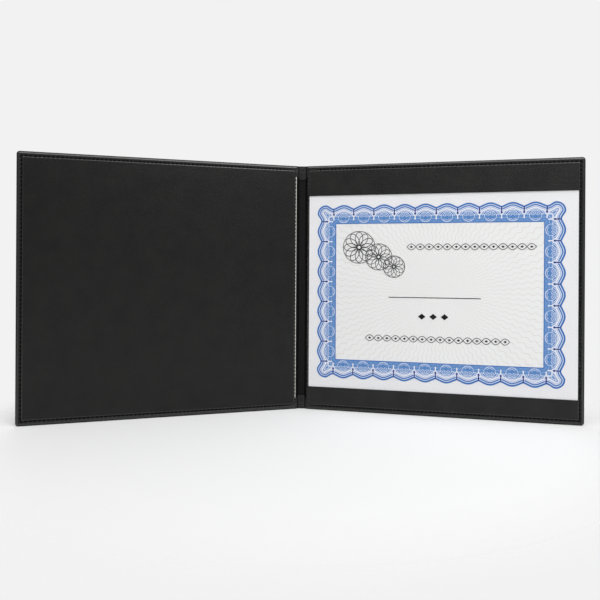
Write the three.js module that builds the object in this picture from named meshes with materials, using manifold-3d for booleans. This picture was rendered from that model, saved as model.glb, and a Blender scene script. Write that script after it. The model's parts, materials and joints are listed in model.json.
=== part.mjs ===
// Diploma cover: a padded leatherette folder that stands half open like a book.
// Two stiff leaves hang on the creases of a narrow spine. The right leaf holds a
// certificate behind a clear sheet, between two sewn bands.
//
// Millimetres, +Z up. The inner faces look to -Y, the left leaf reaches to -X.
// The origin is under the middle of the cover, on the surface it stands on.
//
// Each leaf is modelled flat in its own frame: x runs outwards from the crease,
// y runs to the outside of the cover, z is measured from mid-height.

import * as THREE from 'three';
import { mergeVertices } from 'three/addons/utils/BufferGeometryUtils.js';
import Module from 'manifold-3d';

const wasm = await Module();
wasm.setup();

// Cover
const leafWidth = 288.4;
const leafHeight = 272.5;
const leafTurn = THREE.MathUtils.degToRad(15);
const cornerRadius = 2.2;
const edgeRound = 1;

// Layers, from the outside of a leaf to its inner face
const skinThickness = 0.6;
const boardThickness = 1.5;
const liningThickness = 0.7;
const glueGap = 0.1;
const skinTurnIn = 12;
const liningInset = 1.2;
const liningCorner = 1;
const liningLip = 0.7;
const pillowRise = 0.2;
const pillowSlope = 1.2;

// Spine
const stripThickness = 0.5;
const spineLinerThickness = 0.4;
const spineTurnIn = 15;
const stripInset = 0.54;
const spineLinerInset = 0.29;
const creaseGap = 0.21;
const creaseClearance = 0.2;
const closedGap = 0.35;

// Certificate and the pocket that holds it
const sheetWidth = 279.4;
const sheetHeight = 215.9;
const sheetThickness = 0.25;
const sheetInset = 2.5;
const sheetOverlap = 1.6;
const bandDifference = 8.2;
const inkGap = 0.05;
const inkThickness = 0.1;
const filmThickness = 0.2;
const filmSpineInset = 0.6;
const filmEdgeInset = 2.5;
const bandLip = 0.25;
const bandTuck = 2.2;
const bandBevel = 0.12;

// Printed border of the certificate
const printShift = -1.2;
const lobePitch = 22.15;
const lobesAcross = 10;
const lobesUp = 7;
const lobeRise = 4;
const borderWidth = 17;
const borderReturn = 2.75;
const cornerLobeRadius = 9.3;
const lobeSteps = 8;
const cornerSteps = 5;

// Seams
const seamInset = 4.7;
const spineSeamInset = 1.75;
const seamFloor = 0.35;
const seamFloorWidth = 1;
const seamSlope = 0.6;
const pillowInset = 1.2;
const stitchPitch = 4.2;
const threadWidth = 0.9;
const threadRise = 0.45;
const holeWidth = 0.4;
const holeRise = 0.15;
const threadGap = 0.1;

// Distances from the crease plane towards the inner face of a leaf
const skinBack = -skinThickness / 2;
const boardFrom = skinThickness / 2 + glueGap;
const boardTo = boardFrom + boardThickness;
const turnInFrom = boardTo + glueGap;
const turnInTo = turnInFrom + skinThickness;
const liningFrom = turnInTo + glueGap;
const innerFace = liningFrom + liningThickness;
const sheetFrom = innerFace + glueGap;
const sheetTo = sheetFrom + sheetThickness;
const inkFrom = sheetTo + inkGap;
const inkTo = inkFrom + inkThickness;
const filmFrom = inkTo + glueGap;
const filmTo = filmFrom + filmThickness;
const bandFrom = innerFace + glueGap;
const bandRoof = filmTo + glueGap;
const bandTo = bandRoof + bandLip;
const leftThreadFrom = innerFace - seamFloor + threadGap;
const rightThreadFrom = filmTo + threadGap;
const leftDepth = Math.max(innerFace + pillowRise, leftThreadFrom + threadRise);
const rightDepth = Math.max(bandTo, rightThreadFrom + threadRise);

// Distances from the crease plane through the spine, at its folded head and tail
const stripFrom = skinThickness / 2 + glueGap;
const stripTo = stripFrom + stripThickness;
const spineLinerFrom = stripTo + glueGap;
const spineLinerTo = spineLinerFrom + spineLinerThickness;
const spineFoldFrom = spineLinerTo + glueGap;
const spineFoldTo = spineFoldFrom + skinThickness;

// Distances from the crease, outwards along a leaf
const leafStart = spineFoldTo + creaseClearance;
const leafEnd = leafStart + leafWidth;
const boardStart = leafStart + liningLip + glueGap;
const boardEnd = leafEnd - skinThickness - glueGap;
const liningEnd = leafEnd - liningInset;
const sheetStart = leafStart + sheetInset;
const seamStart = leafStart + spineSeamInset;
const seamEnd = leafEnd - seamInset;

// Heights from the middle of a leaf
const halfHeight = leafHeight / 2;
const boardHalf = halfHeight - skinThickness - glueGap;
const liningHalf = halfHeight - liningInset;
const seamHalf = halfHeight - seamInset;
const windowHeight = sheetHeight - 2 * sheetOverlap;
const windowHigh = (windowHeight - bandDifference) / 2;
const windowLow = -(windowHeight + bandDifference) / 2;
const sheetMiddle = (windowHigh + windowLow) / 2;

// The creases lie far enough apart for the closed leaves to lie flat together
const creaseHalf = (leftDepth + rightDepth + closedGap) / 2;
const spineHalf = creaseHalf - skinThickness / 2 - creaseGap;

const leatherette = new THREE.MeshStandardMaterial({ color: 0x262626, roughness: 0.6 });
const liningCloth = new THREE.MeshStandardMaterial({ color: 0x2a2a2a, roughness: 0.65 });
const greyBoard = new THREE.MeshStandardMaterial({ color: 0x8d8577, roughness: 0.9 });
const softFleece = new THREE.MeshStandardMaterial({ color: 0xe4e1da, roughness: 0.95 });
const whitePaper = new THREE.MeshStandardMaterial({ color: 0xe9e9ec, roughness: 0.85 });
const blueInk = new THREE.MeshStandardMaterial({ color: 0x4c75c0, roughness: 0.8 });
const sewingThread = new THREE.MeshStandardMaterial({ color: 0x121212, roughness: 0.8 });
const clearFilm = new THREE.MeshStandardMaterial({
  color: 0xf4f6f8,
  roughness: 0.12,
  transparent: true,
  opacity: 0.15,
});

function toSolid(geometry) {
  const bare = geometry.clone();
  bare.deleteAttribute('normal');
  bare.deleteAttribute('uv');
  const merged = mergeVertices(bare);
  return new wasm.Manifold(new wasm.Mesh({
    numProp: 3,
    vertProperties: merged.attributes.position.array,
    triVerts: new Uint32Array(merged.index.array),
  }));
}

function toGeometry(solid) {
  const { vertProperties, triVerts } = solid.getMesh();
  const geometry = new THREE.BufferGeometry();
  geometry.setAttribute('position', new THREE.BufferAttribute(vertProperties, 3));
  geometry.setIndex(new THREE.BufferAttribute(triVerts, 1));
  geometry.computeVertexNormals();
  return geometry;
}

// A rectangle in x and z whose two outer corners are rounded
function leafShape(start, end, low, high, radius) {
  const shape = new THREE.Shape();
  shape.moveTo(start, low);
  shape.lineTo(end - radius, low);
  shape.absarc(end - radius, low + radius, radius, -Math.PI / 2, 0);
  shape.absarc(end - radius, high - radius, radius, 0, Math.PI / 2);
  shape.lineTo(start, high);
  shape.closePath();
  return shape;
}

function boxShape(start, end, low, high) {
  const shape = new THREE.Shape();
  shape.moveTo(start, low);
  shape.lineTo(end, low);
  shape.lineTo(end, high);
  shape.lineTo(start, high);
  shape.closePath();
  return shape;
}

// A plate of the given outline between two depths, with its edges rounded off
function plate(shape, from, to, bevel = 0, slope = bevel, bevelSegments = 1) {
  const geometry = new THREE.ExtrudeGeometry(shape, {
    depth: to - from - 2 * bevel,
    bevelEnabled: bevel > 0,
    bevelThickness: bevel,
    bevelSize: slope,
    bevelOffset: -slope,
    bevelSegments,
    curveSegments: 5,
  });
  geometry.rotateX(Math.PI / 2);
  geometry.translate(0, -from - bevel, 0);
  return geometry;
}

function block(start, end, from, to, low, high) {
  return plate(boxShape(start, end, low, high), from, to);
}

// Joins rings of section points into one closed loop. A station has a place in x and z,
// the way out of the loop there, and its section as pairs of offset and depth.
function sweepLoop(stations) {
  const positions = [];
  const index = [];
  const sides = stations[0].section.length;
  for (const { at, out, section } of stations) {
    for (const [offset, depth] of section) {
      positions.push(at.x + out.x * offset, -depth, at.y + out.y * offset);
    }
  }
  for (let ring = 0; ring < stations.length; ring += 1) {
    const next = (ring + 1) % stations.length;
    for (let side = 0; side < sides; side += 1) {
      const turn = (side + 1) % sides;
      const a = ring * sides + side;
      const b = ring * sides + turn;
      const c = next * sides + turn;
      const d = next * sides + side;
      index.push(a, b, c, a, c, d);
    }
  }
  const geometry = new THREE.BufferGeometry();
  geometry.setAttribute('position', new THREE.Float32BufferAttribute(positions, 3));
  geometry.setIndex(index);
  geometry.computeVertexNormals();
  return geometry;
}

// The seam goes round a leaf along a rectangle, a fixed way in from each edge
const seamCorners = [
  new THREE.Vector2(seamStart, -seamHalf),
  new THREE.Vector2(seamEnd, -seamHalf),
  new THREE.Vector2(seamEnd, seamHalf),
  new THREE.Vector2(seamStart, seamHalf),
];
const seamMiddle = new THREE.Vector2((seamStart + seamEnd) / 2, 0);

function outAtCorner(corner) {
  return new THREE.Vector2(
    Math.sign(corner.x - seamMiddle.x),
    Math.sign(corner.y - seamMiddle.y),
  );
}

// The sunk channel along the seam, down to a floor and open above
function seamChannel(floor, surface) {
  const above = surface + seamFloor + pillowRise;
  const floorHalf = seamFloorWidth / 2;
  const spread = (above - floor) * (seamSlope / (surface - floor));
  const section = [
    [-floorHalf, floor],
    [-floorHalf - spread, above],
    [floorHalf + spread, above],
    [floorHalf, floor],
  ];
  return toSolid(sweepLoop(seamCorners.map((corner) => (
    { at: corner, out: outAtCorner(corner), section }
  ))));
}

function threadSection(base, width, rise) {
  return [
    [-width / 2, base],
    [0, base + rise],
    [width / 2, base],
  ];
}

// Lockstitch: full between two needle holes, pinched where the thread dives into one
function seamThread(base) {
  const hole = threadSection(base, holeWidth, holeRise);
  const crown = threadSection(base, threadWidth, threadRise);
  const stations = [];
  seamCorners.forEach((corner, side) => {
    const following = seamCorners[(side + 1) % seamCorners.length];
    const along = following.clone().sub(corner);
    const out = new THREE.Vector2(along.y, -along.x).normalize();
    const stitches = Math.round(along.length() / stitchPitch);
    for (let stitch = 0; stitch < stitches; stitch += 1) {
      stations.push({
        at: corner.clone().addScaledVector(along, stitch / stitches),
        out: stitch === 0 ? outAtCorner(corner) : out,
        section: hole,
      });
      stations.push({
        at: corner.clone().addScaledVector(along, (stitch + 0.5) / stitches),
        out,
        section: crown,
      });
    }
  });
  return sweepLoop(stations);
}

// The skin is wrapped round the board and turned in on three sides. Beyond the board it
// runs on as one thin layer to the crease, where it ends in a rounded fold.
function leafSkin() {
  const wrapStart = boardStart - 2 * edgeRound;
  const outline = leafShape(wrapStart, leafEnd, -halfHeight, halfHeight, cornerRadius);
  const wrapped = toSolid(plate(outline, skinBack, turnInTo, edgeRound, edgeRound, 4));
  const beyond = leafWidth;
  const spineSide = toSolid(block(
    wrapStart - edgeRound, boardStart, skinBack - beyond, beyond, -beyond, beyond,
  ));
  const hollow = toSolid(block(
    wrapStart, leafEnd - skinThickness, skinThickness / 2, turnInFrom,
    -halfHeight + skinThickness, halfHeight - skinThickness,
  ));
  const mouth = toSolid(block(
    wrapStart, leafEnd - skinTurnIn, boardTo, turnInTo + skinThickness,
    -halfHeight + skinTurnIn, halfHeight - skinTurnIn,
  ));
  const flapHalf = halfHeight - skinThickness;
  const flap = toSolid(block(
    0, boardStart + skinThickness, skinBack, skinThickness / 2, -flapHalf, flapHalf,
  ));
  const fold = new THREE.CylinderGeometry(skinThickness / 2, skinThickness / 2, 2 * flapHalf, 16);
  fold.rotateX(Math.PI / 2);
  return toGeometry(
    wrapped.subtract(spineSide).subtract(hollow).subtract(mouth).add(flap).add(toSolid(fold)),
  );
}

function leafBoard() {
  const outline = leafShape(
    boardStart, boardEnd, -boardHalf, boardHalf, cornerRadius - skinThickness,
  );
  return plate(outline, boardFrom, boardTo);
}

// The padding lies on the board and fills the field inside the turned-in skin
function leafPadding() {
  const paddingHalf = halfHeight - skinTurnIn - glueGap;
  const outline = boxShape(
    boardStart, leafEnd - skinTurnIn - glueGap, -paddingHalf, paddingHalf,
  );
  return plate(outline, turnInFrom, turnInTo);
}

// The lining covers the inner face and is turned down over the board's spine edge
function liningSheet() {
  const outline = leafShape(leafStart, liningEnd, -liningHalf, liningHalf, liningCorner);
  const sheet = toSolid(plate(outline, liningFrom, innerFace));
  const lip = toSolid(block(
    leafStart, leafStart + liningLip, boardFrom, innerFace, -liningHalf, liningHalf,
  ));
  return sheet.add(lip);
}

// The left lining is sewn down through the padding: a channel round a raised field
function sewnLining() {
  const channelHalf = seamFloorWidth / 2 + seamSlope;
  const inset = channelHalf + pillowInset - seamSlope;
  const field = boxShape(
    seamStart + inset, seamEnd - inset, -seamHalf + inset, seamHalf - inset,
  );
  const pillow = toSolid(plate(
    field, liningFrom + glueGap, innerFace + pillowRise, pillowRise, pillowSlope,
  ));
  return toGeometry(
    liningSheet().add(pillow).subtract(seamChannel(innerFace - seamFloor, innerFace)),
  );
}

// A band is sewn across the leaf, and its inner edge holds down the sheet and the film
function pocketBand(low, high, tuckLow, tuckHigh) {
  const outline = boxShape(leafStart, liningEnd, low, high);
  const band = toSolid(plate(outline, bandFrom, bandTo, bandBevel));
  const tuck = toSolid(block(
    leafStart - liningInset, leafEnd, innerFace, bandRoof, tuckLow, tuckHigh,
  ));
  return toGeometry(
    band.subtract(tuck).subtract(seamChannel(filmTo, bandTo)),
  );
}

// Half a wave from one level to another, as points of an outline
function wave(start, end, steps) {
  const points = [];
  for (let step = 0; step < steps; step += 1) {
    const share = step / steps;
    const rise = (1 - Math.cos(Math.PI * share)) / 2;
    points.push(new THREE.Vector2(
      THREE.MathUtils.lerp(start.x, end.x, share),
      THREE.MathUtils.lerp(start.y, end.y, rise),
    ));
  }
  return points;
}

// One side of the scalloped border, from its first valley to the middle of the corner
// lobe, along x and with y outwards. The lobe's round end turns through an eighth here.
function scallopedSide(lobes, valleyLevel, cornerX, cornerY) {
  const points = [];
  const first = -lobes * lobePitch / 2;
  const half = lobePitch / 2;
  for (let lobe = 0; lobe < lobes; lobe += 1) {
    const valley = new THREE.Vector2(first + lobe * lobePitch, valleyLevel);
    const peak = new THREE.Vector2(valley.x + half, valleyLevel + lobeRise);
    const nextValley = new THREE.Vector2(valley.x + lobePitch, valleyLevel);
    points.push(...wave(valley, peak, lobeSteps / 2), ...wave(peak, nextValley, lobeSteps / 2));
  }
  const lastValley = new THREE.Vector2(-first, valleyLevel);
  const crest = new THREE.Vector2(cornerX, cornerY + cornerLobeRadius);
  points.push(...wave(lastValley, crest, lobeSteps / 2));
  return points;
}

// The border: ten lobes across and seven up, a round lobe at each corner, and a plain
// rectangle inside
function borderShape() {
  const innerX = lobesAcross * lobePitch / 2 - borderReturn;
  const innerY = lobesUp * lobePitch / 2 - borderReturn;
  const valleyX = innerX + borderWidth;
  const valleyY = innerY + borderWidth;
  const cornerX = valleyX + lobeRise - cornerLobeRadius;
  const cornerY = valleyY + lobeRise - cornerLobeRadius;
  const across = scallopedSide(lobesAcross, valleyY, cornerX, cornerY);
  const up = scallopedSide(lobesUp, valleyX, cornerY, cornerX);
  const outline = [];
  const arc = (turn) => {
    const centre = new THREE.Vector2(
      Math.sign(Math.cos(turn - Math.PI / 4)) * cornerX,
      Math.sign(Math.sin(turn - Math.PI / 4)) * cornerY,
    );
    for (let step = 0; step < cornerSteps; step += 1) {
      const angle = turn - (step / cornerSteps) * (Math.PI / 2);
      outline.push(new THREE.Vector2(
        centre.x + cornerLobeRadius * Math.cos(angle),
        centre.y + cornerLobeRadius * Math.sin(angle),
      ));
    }
  };
  const leave = (side) => side.slice(side.length - lobeSteps / 2).reverse();
  const turned = (points, quarter) => points.map((point) => {
    const angle = -quarter * (Math.PI / 2);
    return point.clone().rotateAround(new THREE.Vector2(), angle);
  });
  const mirrored = (points) => points.map((point) => new THREE.Vector2(-point.x, point.y));
  for (const quarter of [0, 1, 2, 3]) {
    const side = quarter % 2 === 0 ? across : up;
    outline.push(...turned(mirrored(leave(side)), quarter));
    outline.push(...turned(side, quarter));
    arc(Math.PI / 2 - quarter * (Math.PI / 2));
  }
  const shape = new THREE.Shape(outline.reverse());
  const inside = new THREE.Path();
  inside.moveTo(-innerX, -innerY);
  inside.lineTo(-innerX, innerY);
  inside.lineTo(innerX, innerY);
  inside.lineTo(innerX, -innerY);
  inside.closePath();
  shape.holes.push(inside);
  return shape;
}

// The spine skin is one strip whose head and tail are folded over to the inside
function spineSkin() {
  const outerRadius = (skinThickness / 2 + spineFoldTo) / 2;
  const innerRadius = outerRadius - skinThickness;
  const middle = spineFoldTo - outerRadius;
  const bend = halfHeight - outerRadius;
  const end = halfHeight - spineTurnIn;
  const profile = new THREE.Shape();
  profile.moveTo(spineFoldTo, end);
  profile.absarc(middle, bend, outerRadius, 0, Math.PI);
  profile.absarc(middle, -bend, outerRadius, Math.PI, 2 * Math.PI);
  profile.lineTo(spineFoldTo, -end);
  profile.lineTo(spineFoldFrom, -end);
  profile.absarc(middle, -bend, innerRadius, 2 * Math.PI, Math.PI, true);
  profile.absarc(middle, bend, innerRadius, Math.PI, 0, true);
  profile.lineTo(spineFoldFrom, end);
  profile.closePath();
  const geometry = new THREE.ExtrudeGeometry(profile, {
    depth: 2 * spineHalf,
    bevelEnabled: false,
    curveSegments: 12,
  });
  geometry.translate(0, 0, -spineHalf);
  geometry.rotateX(Math.PI / 2);
  geometry.rotateZ(-Math.PI / 2);
  return geometry;
}

function spinePlate(inset, from, to) {
  const reach = spineHalf - inset;
  const foldHalf = halfHeight - (skinThickness / 2 + spineFoldTo) / 2 - glueGap;
  return plate(boxShape(-reach, reach, -foldHalf, foldHalf), from, to);
}

function piece(name, geometry, material, parent) {
  const mesh = new THREE.Mesh(geometry, material);
  mesh.name = name;
  parent.add(mesh);
  return mesh;
}

const cover = new THREE.Group();

const spine = new THREE.Group();
spine.position.z = halfHeight;
cover.add(spine);
piece('spine_skin', spineSkin(), leatherette, spine);
piece('spine_strip', spinePlate(stripInset, stripFrom, stripTo), greyBoard, spine);
piece('spine_liner', spinePlate(spineLinerInset, spineLinerFrom, spineLinerTo), liningCloth, spine);

// Both leaves are built the same way round. The left one is turned over to face the right.
function leaf(side) {
  const crease = new THREE.Group();
  crease.position.set(side * creaseHalf, 0, halfHeight);
  crease.rotation.z = -side * leafTurn;
  cover.add(crease);
  const flat = new THREE.Group();
  flat.rotation.y = side > 0 ? 0 : Math.PI;
  crease.add(flat);
  return flat;
}

const leftLeaf = leaf(-1);
piece('left_skin', leafSkin(), leatherette, leftLeaf);
piece('left_board', leafBoard(), greyBoard, leftLeaf);
piece('left_padding', leafPadding(), softFleece, leftLeaf);
piece('left_lining', sewnLining(), liningCloth, leftLeaf);
piece('left_seam_thread', seamThread(leftThreadFrom), sewingThread, leftLeaf);

const rightLeaf = leaf(1);
piece('right_skin', leafSkin(), leatherette, rightLeaf);
piece('right_board', leafBoard(), greyBoard, rightLeaf);
piece('right_padding', leafPadding(), softFleece, rightLeaf);
piece('right_lining', toGeometry(liningSheet()), liningCloth, rightLeaf);

const certificate = piece(
  'certificate',
  block(0, sheetWidth, sheetFrom, sheetTo, -sheetHeight / 2, sheetHeight / 2),
  whitePaper,
  rightLeaf,
);
certificate.position.set(sheetStart, 0, sheetMiddle);

const border = piece('printed_border', plate(borderShape(), inkFrom, inkTo), blueInk, rightLeaf);
border.position.set(sheetStart + sheetWidth / 2 + printShift, 0, sheetMiddle);

const pocketReach = bandTuck - glueGap;
piece(
  'clear_film',
  block(
    leafStart + filmSpineInset, leafEnd - filmEdgeInset, filmFrom, filmTo,
    windowLow - pocketReach, windowHigh + pocketReach,
  ),
  clearFilm,
  rightLeaf,
);
piece(
  'top_band',
  pocketBand(windowHigh, liningHalf, windowHigh - bandTuck, windowHigh + bandTuck),
  leatherette,
  rightLeaf,
);
piece(
  'bottom_band',
  pocketBand(-liningHalf, windowLow, windowLow - bandTuck, windowLow + bandTuck),
  leatherette,
  rightLeaf,
);
piece('right_seam_thread', seamThread(rightThreadFrom), sewingThread, rightLeaf);

const box = new THREE.Box3().setFromObject(cover, true);
const middle = box.getCenter(new THREE.Vector3());
cover.position.set(-middle.x, -middle.y, -box.min.z);

export default cover;
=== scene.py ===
import json
import math
from functools import partial

import bmesh
import bpy
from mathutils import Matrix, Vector, noise


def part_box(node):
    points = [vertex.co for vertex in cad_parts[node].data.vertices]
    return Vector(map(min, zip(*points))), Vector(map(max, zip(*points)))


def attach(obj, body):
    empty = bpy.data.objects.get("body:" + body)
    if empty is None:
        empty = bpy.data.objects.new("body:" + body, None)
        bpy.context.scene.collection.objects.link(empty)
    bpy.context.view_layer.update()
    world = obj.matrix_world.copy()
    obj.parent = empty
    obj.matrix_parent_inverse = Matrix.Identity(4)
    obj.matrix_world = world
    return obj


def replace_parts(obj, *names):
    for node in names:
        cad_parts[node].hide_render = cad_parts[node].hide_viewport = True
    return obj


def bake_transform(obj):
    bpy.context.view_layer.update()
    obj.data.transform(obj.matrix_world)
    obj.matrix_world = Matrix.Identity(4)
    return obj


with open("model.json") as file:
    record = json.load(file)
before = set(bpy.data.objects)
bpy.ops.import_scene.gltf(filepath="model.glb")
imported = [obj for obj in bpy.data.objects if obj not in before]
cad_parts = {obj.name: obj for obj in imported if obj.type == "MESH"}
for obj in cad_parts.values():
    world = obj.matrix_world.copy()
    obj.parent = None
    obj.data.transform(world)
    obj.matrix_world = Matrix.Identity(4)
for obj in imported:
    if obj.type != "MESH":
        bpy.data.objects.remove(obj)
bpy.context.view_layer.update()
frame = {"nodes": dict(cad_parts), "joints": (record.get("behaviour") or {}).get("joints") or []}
print("frame loaded")

mm = 0.001
hinge = next(joint for joint in frame["joints"] if joint["name"] == "right_hinge")
creaseX = hinge["pos_m"][0] / mm
creaseY = hinge["pos_m"][1] / mm
leafTurn = math.radians(-hinge["range_deg"][0])  # how far each leaf is folded from flat
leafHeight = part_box("right_skin")[1].z / mm
left, right = -1, 1
bodyOf = {left: "left_leaf", right: "right_leaf"}


# Leaf coordinates in mm: along from the crease outwards, depth from the crease plane to the
# inner face, high from the floor. Spine coordinates are the same with no turn.
def toRow(side, along, depth, high, turn=leafTurn):
    x = creaseX + along * math.cos(turn) - depth * math.sin(turn)
    y = creaseY - along * math.sin(turn) - depth * math.cos(turn)
    return Vector((side * x, y, high)) * mm


# A place in the shared frame, given in the coordinates of the right leaf
def toLeaf(place, turn=leafTurn):
    x = place.x / mm - creaseX
    y = place.y / mm - creaseY
    cosine, sine = math.cos(turn), math.sin(turn)
    return x * cosine - y * sine, -x * sine - y * cosine, place.z / mm


# The span of a CAD node in leaf coordinates: (low, high) for along, depth and height
def leafSpan(node, turn=leafTurn):
    places = [toLeaf(vertex.co, turn) for vertex in frame["nodes"][node].data.vertices]
    return [(min(values), max(values)) for values in zip(*places)]


skinSpan = leafSpan("right_skin")
liningSpan = leafSpan("right_lining")
bandSpan = {"top": leafSpan("top_band"), "bottom": leafSpan("bottom_band")}
sheetSpan = leafSpan("certificate")
filmSpan = leafSpan("clear_film")
inkSpan = leafSpan("printed_border")
leafEnd = skinSpan[0][1]
leafStart = liningSpan[0][0]
innerFace = liningSpan[1][1]

seam = {
    "edgeInset": 4.7,
    "spineInset": 1.75,
    "floorHalf": 0.4,
    "slope": 0.8,
    "sink": 0.6,
    "beadTop": 2.3,         # distance from the seam line out to the top of the bead
    "crownSpan": (1, 14),   # the field swells between these distances inside the seam
    "rimStart": -0.2,
    "rimRoll": 0.12,
}
stitch = {"pitch": 4.2, "length": 3.2, "width": 0.95}
seamStart = leafStart + seam["spineInset"]
seamEnd = leafEnd - seam["edgeInset"]
seamLow = seam["edgeInset"]
seamHigh = leafHeight - seam["edgeInset"]
seamLoopLength = 2 * (seamEnd - seamStart + seamHigh - seamLow)
closedDrop = 0.2    # the sewn faces lie this much lower, so that the closed leaves clear each other
evenPitch = seamLoopLength / round(seamLoopLength / stitch["pitch"])


def smooth(low, high, value):
    share = min(max((value - low) / (high - low), 0), 1)
    return share * share * (3 - 2 * share)


def mix(first, second, share):
    return first + (second - first) * share


# Distance to the seam line: positive in the field it surrounds, negative towards the edges
def insideSeam(along, high):
    return min(along - seamStart, seamEnd - along, high - seamLow, seamHigh - high)


# How far a rounded edge has dropped at a distance from the rim
def edgeDrop(distance, radius):
    if distance >= radius:
        return 0
    return radius - math.sqrt(max(radius ** 2 - (radius - distance) ** 2, 0))


# The lining's turned rim: it slopes up from the edge to the crest of the bead
def rimSlope(distance, height, reach):
    return height * (1 - smooth(seam["rimStart"], reach, distance)) + edgeDrop(distance, seam["rimRoll"])


# The sewn-down relief: a floor along the seam, a bead outside it and a raised field inside
def seamRelief(along, high, bead, field, crown):
    distance = insideSeam(along, high)
    if distance < 0:
        return mix(-seam["sink"], bead, smooth(seam["floorHalf"], seam["beadTop"], -distance))
    rise = smooth(seam["floorHalf"], seam["floorHalf"] + seam["slope"], distance)
    return mix(-seam["sink"], field, rise) + crown * smooth(*seam["crownSpan"], distance)


def ripple(along, high, size, amount, seed):
    return amount * noise.noise(Vector((along / size, high / size, seed)))


# Grid lines from low to high: given distances near each end, and even steps between them
def linesBetween(low, high, nearLow, nearHigh, step):
    start = low + nearLow[-1]
    end = high - nearHigh[-1]
    count = max(1, round((end - start) / step))
    inner = [mix(start, end, index / count) for index in range(1, count)]
    return [low + value for value in nearLow] + inner + [high - value for value in reversed(nearHigh)]


# Where a point lies on the seam: its distance from the seam line, and how far round the line
def seamPlace(along, high):
    wide, tall = seamEnd - seamStart, seamHigh - seamLow
    sides = [
        (high - seamLow, along - seamStart),
        (seamEnd - along, wide + high - seamLow),
        (seamHigh - high, wide + tall + seamEnd - along),
        (along - seamStart, 2 * wide + tall + seamHigh - high),
    ]
    return min(sides)


def addObject(name, data):
    made = bpy.data.objects.new(name, data)
    bpy.context.scene.collection.objects.link(made)
    return made


def setAttribute(mesh, name, kind, domain, values):
    layer = mesh.attributes.new(name, kind, domain)
    layer.data.foreach_set("value" if kind == "FLOAT" else "vector", values)


# Joins points that lie together, where a distance is given, and turns all faces outwards
def cleanMesh(mesh, joinWithin=None):
    work = bmesh.new()
    work.from_mesh(mesh)
    if joinWithin:
        bmesh.ops.remove_doubles(work, verts=work.verts, dist=joinWithin)
    bmesh.ops.recalc_face_normals(work, faces=work.faces)
    work.to_mesh(mesh)
    work.free()


def softenEdges(mesh, creaseAngle):
    mesh.shade_smooth()
    mesh.set_sharp_from_angle(angle=math.radians(creaseAngle))


def makePiece(name, points, faces, material, seams):
    mesh = bpy.data.meshes.new(name)
    mesh.from_pydata([tuple(point) for point in points], [], faces)
    places = [value for place in seams for value in (*place, 0)]
    setAttribute(mesh, "seam", "FLOAT_VECTOR", "POINT", places)
    cleanMesh(mesh, 2e-7)
    softenEdges(mesh, 40)
    mesh.materials.append(material)
    return addObject(name, mesh)


# The object with its modifiers applied, in place of the one that had them
def bakeModifiers(source, name):
    graph = bpy.context.evaluated_depsgraph_get()
    mesh = bpy.data.meshes.new_from_object(source.evaluated_get(graph))
    bpy.data.objects.remove(source)
    mesh.name = name
    return addObject(name, mesh)


# What every piece ends with: the body it rides on and the nodes that it replaces
def finishPiece(piece, body, slot, *nodes):
    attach(piece, body)
    if nodes:
        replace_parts(piece, *nodes)


# The quads of a grid whose points were added row by row, from the index start
def gridFaces(start, wide, tall):
    corners = [start + row * wide + column for row in range(tall - 1) for column in range(wide - 1)]
    return [(a, a + 1, a + wide + 1, a + wide) for a in corners]


# A closed sheet over a grid, with a top and a bottom given as depths. Corners are named by
# whether they lie at the far end and at the upper end.
def gridSheet(name, side, columns, rows, top, bottom, material, turn=leafTurn, corners=(), radius=1.0):
    points, faces, seams = [], [], []

    def rounded(along, high):
        for far, upper in corners:
            a = 1 - abs(along - columns[-far]) / radius
            b = 1 - abs(high - rows[-upper]) / radius
            if a > 0 and b > 0:
                pull = 1 - max(a, b) / math.hypot(a, b)
                along -= (2 * far - 1) * a * pull * radius
                high -= (2 * upper - 1) * b * pull * radius
        return along, high

    for surface in (top, bottom):
        for high in rows:
            for along in columns:
                place = rounded(along, high)
                points.append(toRow(side, place[0], surface(along, high), place[1], turn))
                seams.append(seamPlace(along, high))
    wide, tall = len(columns), len(rows)
    under = wide * tall
    for quad in gridFaces(0, wide, tall):
        a, b, c, d = (under + corner for corner in quad)
        faces += [quad, (a, d, c, b)]
    ring = list(range(wide))
    ring += [row * wide + wide - 1 for row in range(1, tall)]
    ring += [(tall - 1) * wide + column for column in range(wide - 2, -1, -1)]
    ring += [row * wide for row in range(tall - 2, 0, -1)]
    faces += [(a, under + a, under + b, b) for a, b in zip(ring, ring[1:] + ring[:1])]
    return makePiece(name, points, faces, material, seams)


# Gives each named input of a node a plain value, or links what feeds it: an output, or a node's
# first output
def feed(tree, node, values):
    for name, value in values.items():
        if isinstance(value, bpy.types.Node):
            value = value.outputs[0]
        if isinstance(value, bpy.types.NodeSocket):
            tree.links.new(value, node.inputs[name])
        else:
            node.inputs[name].default_value = value


def addNode(tree, kind, values=None, **settings):
    node = tree.nodes.new(kind)
    for name, value in settings.items():
        setattr(node, name, value)
    feed(tree, node, values or {})
    return node


def mathNode(tree, operation, *values, clamp=False):
    node = addNode(tree, "ShaderNodeMath", dict(enumerate(values)), operation=operation, use_clamp=clamp)
    return node.outputs[0]


def mixColors(tree, share, first, second):
    values = {"Factor": share, "A": first, "B": second}
    return addNode(tree, "ShaderNodeMix", values, data_type="RGBA").outputs["Result"]


# A node group with its sockets, each given as a name, a kind and perhaps a value to start from
def newGroup(name, treeKind, inputs, outputs):
    tree = bpy.data.node_groups.new(name, treeKind)
    for way, sockets in (("INPUT", inputs), ("OUTPUT", outputs)):
        for label, kind, *value in sockets:
            socket = tree.interface.new_socket(label, in_out=way, socket_type="NodeSocket" + kind)
            if value:
                socket.default_value = value[0]
    return tree, addNode(tree, "NodeGroupInput").outputs, addNode(tree, "NodeGroupOutput")


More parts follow.
